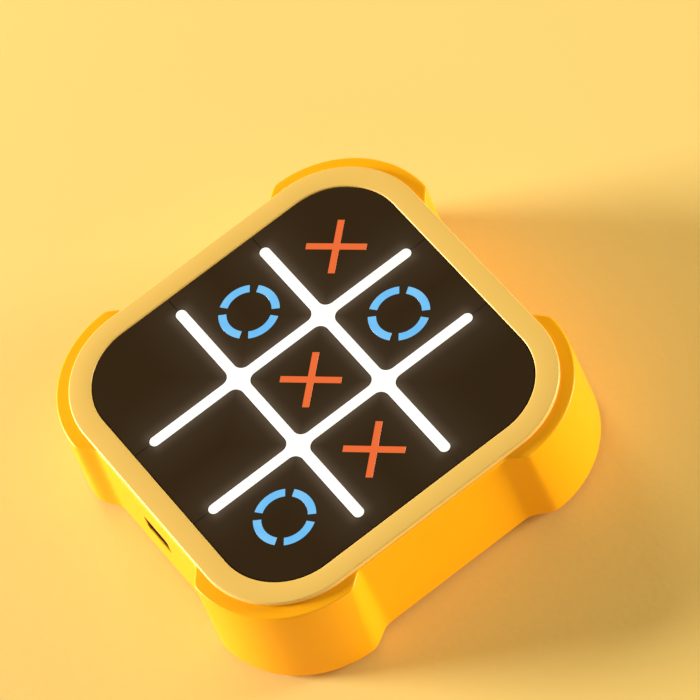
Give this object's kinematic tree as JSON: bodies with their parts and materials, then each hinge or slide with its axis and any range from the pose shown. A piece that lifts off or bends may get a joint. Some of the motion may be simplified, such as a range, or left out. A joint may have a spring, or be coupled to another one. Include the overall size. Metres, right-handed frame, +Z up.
{
  "type": "tic tac toe set",
  "caption": "Handheld electronic tic-tac-toe game: lit push keys in a grid, raised bezel, lobed two-part case, side charging socket and speaker.",
  "frame": {"origin": "on the surface the feet stand on, under the middle of the case", "axes": "+Z up out of the playing face, -Y the side with the charging socket, +X to the right when the socket side is nearest"},
  "size_m": [0.0934, 0.0934, 0.025],
  "materials": {
    "amber_shell": "satin",
    "amber_cover": "satin",
    "pale_bezel": "satin",
    "grid_white": "lit translucent white",
    "baffle_white": "matt",
    "board_green": "satin",
    "socket_steel": "satin",
    "black_plastic": "matt",
    "amber_button": "satin",
    "battery_foil": "satin foil",
    "speaker_steel": "satin",
    "cone_paper": "matt",
    "red_lead": "satin",
    "black_lead": "satin",
    "foot_rubber": "matt",
    "screw_steel": "satin",
    "gloss_black_key": "gloss",
    "symbol_clear": "clear",
    "silicone_dome": "matt",
    "led_body": "satin"
  },
  "bodies": {
    "housing": {"body_shell": "amber_shell", "base_cover": "amber_cover", "bezel_frame": "pale_bezel", "grid_light_guide": "grid_white", "light_baffle": "baffle_white", "main_board": "board_green", "usb_shell": "socket_steel", "usb_tongue": "black_plastic", "mode_switch": "black_plastic", "battery_cell": "battery_foil", "speaker_frame": "speaker_steel", "speaker_cone": "cone_paper", "controller_chip": "black_plastic", "battery_lead": "red_lead", "speaker_lead": "black_lead", "foot_1": "foot_rubber", "foot_2": "foot_rubber", "foot_3": "foot_rubber", "foot_4": "foot_rubber", "case_screw_1": "screw_steel", "case_screw_2": "screw_steel", "case_screw_3": "screw_steel", "case_screw_4": "screw_steel", "return_dome_r1c1": "silicone_dome", "cell_led_r1c1": "led_body", "return_dome_r1c2": "silicone_dome", "cell_led_r1c2": "led_body", "return_dome_r1c3": "silicone_dome", "cell_led_r1c3": "led_body", "return_dome_r2c1": "silicone_dome", "cell_led_r2c1": "led_body", "return_dome_r2c2": "silicone_dome", "cell_led_r2c2": "led_body", "return_dome_r2c3": "silicone_dome", "cell_led_r2c3": "led_body", "return_dome_r3c1": "silicone_dome", "cell_led_r3c1": "led_body", "return_dome_r3c2": "silicone_dome", "cell_led_r3c2": "led_body", "return_dome_r3c3": "silicone_dome", "cell_led_r3c3": "led_body"},
    "key_r1c1": {"key_cap_r1c1": "gloss_black_key", "symbol_guide_r1c1": "symbol_clear"},
    "key_r1c2": {"key_cap_r1c2": "gloss_black_key", "symbol_guide_r1c2": "symbol_clear"},
    "key_r1c3": {"key_cap_r1c3": "gloss_black_key", "symbol_guide_r1c3": "symbol_clear"},
    "key_r2c1": {"key_cap_r2c1": "gloss_black_key", "symbol_guide_r2c1": "symbol_clear"},
    "key_r2c2": {"key_cap_r2c2": "gloss_black_key", "symbol_guide_r2c2": "symbol_clear"},
    "key_r2c3": {"key_cap_r2c3": "gloss_black_key", "symbol_guide_r2c3": "symbol_clear"},
    "key_r3c1": {"key_cap_r3c1": "gloss_black_key", "symbol_guide_r3c1": "symbol_clear"},
    "key_r3c2": {"key_cap_r3c2": "gloss_black_key", "symbol_guide_r3c2": "symbol_clear"},
    "key_r3c3": {"key_cap_r3c3": "gloss_black_key", "symbol_guide_r3c3": "symbol_clear"},
    "mode_button": {"mode_button": "amber_button"}
  },
  "joints": [
    {"name": "key_r1c1_press", "type": "slide", "parent": "housing", "child": "key_r1c1", "axis": [0, 0, -1], "range_m": [0, 0.0007], "stiffness_N_per_m": 400, "springref_m": -0.003, "deforming": ["return_dome_r1c1"]},
    {"name": "key_r1c2_press", "type": "slide", "parent": "housing", "child": "key_r1c2", "axis": [0, 0, -1], "range_m": [0, 0.0007], "stiffness_N_per_m": 400, "springref_m": -0.003, "deforming": ["return_dome_r1c2"]},
    {"name": "key_r1c3_press", "type": "slide", "parent": "housing", "child": "key_r1c3", "axis": [0, 0, -1], "range_m": [0, 0.0007], "stiffness_N_per_m": 400, "springref_m": -0.003, "deforming": ["return_dome_r1c3"]},
    {"name": "key_r2c1_press", "type": "slide", "parent": "housing", "child": "key_r2c1", "axis": [0, 0, -1], "range_m": [0, 0.0007], "stiffness_N_per_m": 400, "springref_m": -0.003, "deforming": ["return_dome_r2c1"]},
    {"name": "key_r2c2_press", "type": "slide", "parent": "housing", "child": "key_r2c2", "axis": [0, 0, -1], "range_m": [0, 0.0007], "stiffness_N_per_m": 400, "springref_m": -0.003, "deforming": ["return_dome_r2c2"]},
    {"name": "key_r2c3_press", "type": "slide", "parent": "housing", "child": "key_r2c3", "axis": [0, 0, -1], "range_m": [0, 0.0007], "stiffness_N_per_m": 400, "springref_m": -0.003, "deforming": ["return_dome_r2c3"]},
    {"name": "key_r3c1_press", "type": "slide", "parent": "housing", "child": "key_r3c1", "axis": [0, 0, -1], "range_m": [0, 0.0007], "stiffness_N_per_m": 400, "springref_m": -0.003, "deforming": ["return_dome_r3c1"]},
    {"name": "key_r3c2_press", "type": "slide", "parent": "housing", "child": "key_r3c2", "axis": [0, 0, -1], "range_m": [0, 0.0007], "stiffness_N_per_m": 400, "springref_m": -0.003, "deforming": ["return_dome_r3c2"]},
    {"name": "key_r3c3_press", "type": "slide", "parent": "housing", "child": "key_r3c3", "axis": [0, 0, -1], "range_m": [0, 0.0007], "stiffness_N_per_m": 400, "springref_m": -0.003, "deforming": ["return_dome_r3c3"]},
    {"name": "mode_button_press", "type": "slide", "parent": "housing", "child": "mode_button", "axis": [0, -1, 0], "range_m": [0, 0.0004], "stiffness_N_per_m": 400, "springref_m": -0.002}
  ]
}
